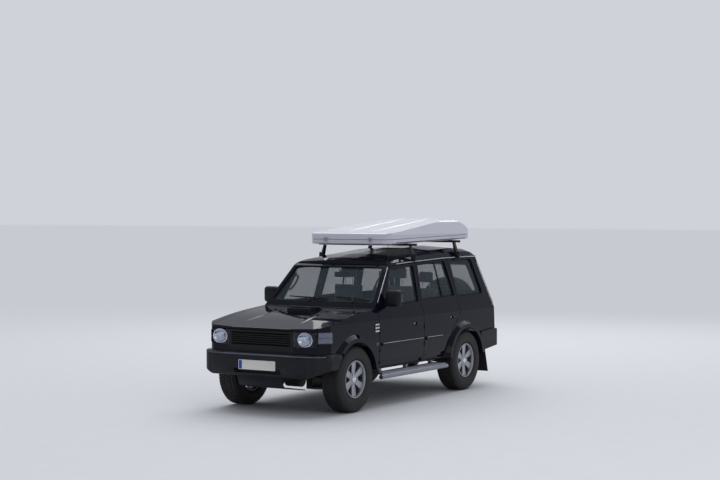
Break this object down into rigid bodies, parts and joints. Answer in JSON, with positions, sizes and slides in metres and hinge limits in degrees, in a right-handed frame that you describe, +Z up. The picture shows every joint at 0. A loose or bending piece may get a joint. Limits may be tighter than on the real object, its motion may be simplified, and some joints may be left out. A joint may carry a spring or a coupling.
{
  "type": "off-road estate car",
  "caption": "Long five-door off-road estate car on a ladder frame, with roof bars and a hinged hard roof shell, side steps and a spare wheel on its side-hinged tailgate.",
  "frame": {"origin": "on the ground under the middle of the car's bounding box", "axes": "+X to the car's left, +Y to its back, +Z up"},
  "size_m": [1.986, 4.735, 2.2484],
  "materials": {
    "body_paint": "gloss",
    "black_metal": "satin",
    "tinted_glass": "gloss",
    "lamp_clear": "gloss",
    "lamp_amber": "gloss",
    "lamp_red": "gloss",
    "black_plastic": "satin",
    "bumper_plastic": "satin",
    "step_alloy": "satin",
    "bare_alloy": "satin",
    "flap_rubber": "matte",
    "shell_white": "gloss",
    "seat_cloth": "matte",
    "engine_iron": "matte",
    "exhaust_steel": "satin",
    "wheel_alloy": "satin",
    "tyre_rubber": "matte"
  },
  "bodies": {
    "car": {"body_tub": "body_paint", "body_side_left": "body_paint", "body_side_right": "body_paint", "roof_panel": "body_paint", "windscreen": "tinted_glass", "quarter_windows": "tinted_glass", "front_wings": "body_paint", "headlamps": "lamp_clear", "turn_lamps": "lamp_amber", "rear_lamps": "lamp_red", "grille_panel": "black_plastic", "radiator": "bare_alloy", "front_bumper": "bumper_plastic", "rear_bumper": "bumper_plastic", "side_steps": "step_alloy", "mud_flaps": "flap_rubber", "shell_base": "shell_white", "sleeping_mat": "seat_cloth", "roof_bars": "black_metal", "dashboard": "black_plastic", "steering_wheel": "black_plastic", "front_seats": "seat_cloth", "rear_seat": "seat_cloth", "aerial": "black_metal", "chassis_frame": "black_metal", "front_suspension": "black_metal", "upper_arms": "black_metal", "rear_axle": "black_metal", "engine_block": "engine_iron", "driveline": "bare_alloy", "fuel_tank": "black_metal", "exhaust": "exhaust_steel"},
    "bonnet": {"bonnet": "body_paint"},
    "shell_lid": {"shell_lid": "shell_white"},
    "tailgate": {"tailgate": "body_paint", "tailgate_glass": "tinted_glass", "spare_tyre": "tyre_rubber", "spare_rim": "wheel_alloy"},
    "front_door_left": {"front_door_left": "body_paint", "front_glass_left": "tinted_glass", "mirror_left": "black_plastic", "front_door_frame_left": "body_paint"},
    "wheel_front_left": {"tyre_front_left": "tyre_rubber", "rim_front_left": "wheel_alloy"},
    "rear_door_left": {"rear_door_left": "body_paint", "rear_glass_left": "tinted_glass"},
    "wheel_rear_left": {"tyre_rear_left": "tyre_rubber", "rim_rear_left": "wheel_alloy"},
    "knuckle_left": {"knuckle_left": "black_metal"},
    "front_door_right": {"front_door_right": "body_paint", "front_glass_right": "tinted_glass", "mirror_right": "black_plastic", "front_door_frame_right": "body_paint"},
    "wheel_front_right": {"tyre_front_right": "tyre_rubber", "rim_front_right": "wheel_alloy"},
    "rear_door_right": {"rear_door_right": "body_paint", "rear_glass_right": "tinted_glass"},
    "wheel_rear_right": {"tyre_rear_right": "tyre_rubber", "rim_rear_right": "wheel_alloy"},
    "knuckle_right": {"knuckle_right": "black_metal"}
  },
  "joints": [
    {"name": "front_door_left_hinge", "type": "hinge", "parent": "car", "child": "front_door_left", "pos_m": [0.846, -1.0155, 0.8], "axis": [0, 0, -1], "range_deg": [0, 65]},
    {"name": "rear_door_left_hinge", "type": "hinge", "parent": "car", "child": "rear_door_left", "pos_m": [0.846, 0.0635, 0.8], "axis": [0, 0, -1], "range_deg": [0, 65]},
    {"name": "steer_left", "type": "hinge", "parent": "car", "child": "knuckle_left", "pos_m": [0.66, -1.5775, 0.3885], "axis": [0, 0, 1], "range_deg": [-30, 30]},
    {"name": "front_wheel_left_spin", "type": "hinge", "parent": "knuckle_left", "child": "wheel_front_left", "pos_m": [0.737, -1.5775, 0.3885], "axis": [1, 0, 0], "continuous": true},
    {"name": "rear_wheel_left_spin", "type": "hinge", "parent": "car", "child": "wheel_rear_left", "pos_m": [0.737, 1.1475, 0.3885], "axis": [1, 0, 0], "continuous": true},
    {"name": "front_door_right_hinge", "type": "hinge", "parent": "car", "child": "front_door_right", "pos_m": [-0.846, -1.0155, 0.8], "axis": [0, 0, 1], "range_deg": [0, 65]},
    {"name": "rear_door_right_hinge", "type": "hinge", "parent": "car", "child": "rear_door_right", "pos_m": [-0.846, 0.0635, 0.8], "axis": [0, 0, 1], "range_deg": [0, 65]},
    {"name": "steer_right", "type": "hinge", "parent": "car", "child": "knuckle_right", "pos_m": [-0.66, -1.5775, 0.3885], "axis": [0, 0, 1], "range_deg": [-30, 30]},
    {"name": "front_wheel_right_spin", "type": "hinge", "parent": "knuckle_right", "child": "wheel_front_right", "pos_m": [-0.737, -1.5775, 0.3885], "axis": [1, 0, 0], "continuous": true},
    {"name": "rear_wheel_right_spin", "type": "hinge", "parent": "car", "child": "wheel_rear_right", "pos_m": [-0.737, 1.1475, 0.3885], "axis": [1, 0, 0], "continuous": true},
    {"name": "bonnet_hinge", "type": "hinge", "parent": "car", "child": "bonnet", "pos_m": [0, -1.1295, 1.162], "axis": [-1, 0, 0], "range_deg": [0, 50]},
    {"name": "tailgate_hinge", "type": "hinge", "parent": "car", "child": "tailgate", "pos_m": [-0.694, 1.9915, 1], "axis": [0, 0, 1], "range_deg": [0, 90]},
    {"name": "shell_lid_hinge", "type": "hinge", "parent": "car", "child": "shell_lid", "pos_m": [0, 1.7615, 2.0315], "axis": [-1, 0, 0], "range_deg": [0, 30]}
  ],
  "couplings": [
    {"joint": "steer_right", "follows": "steer_left", "ratio": 1}
  ]
}
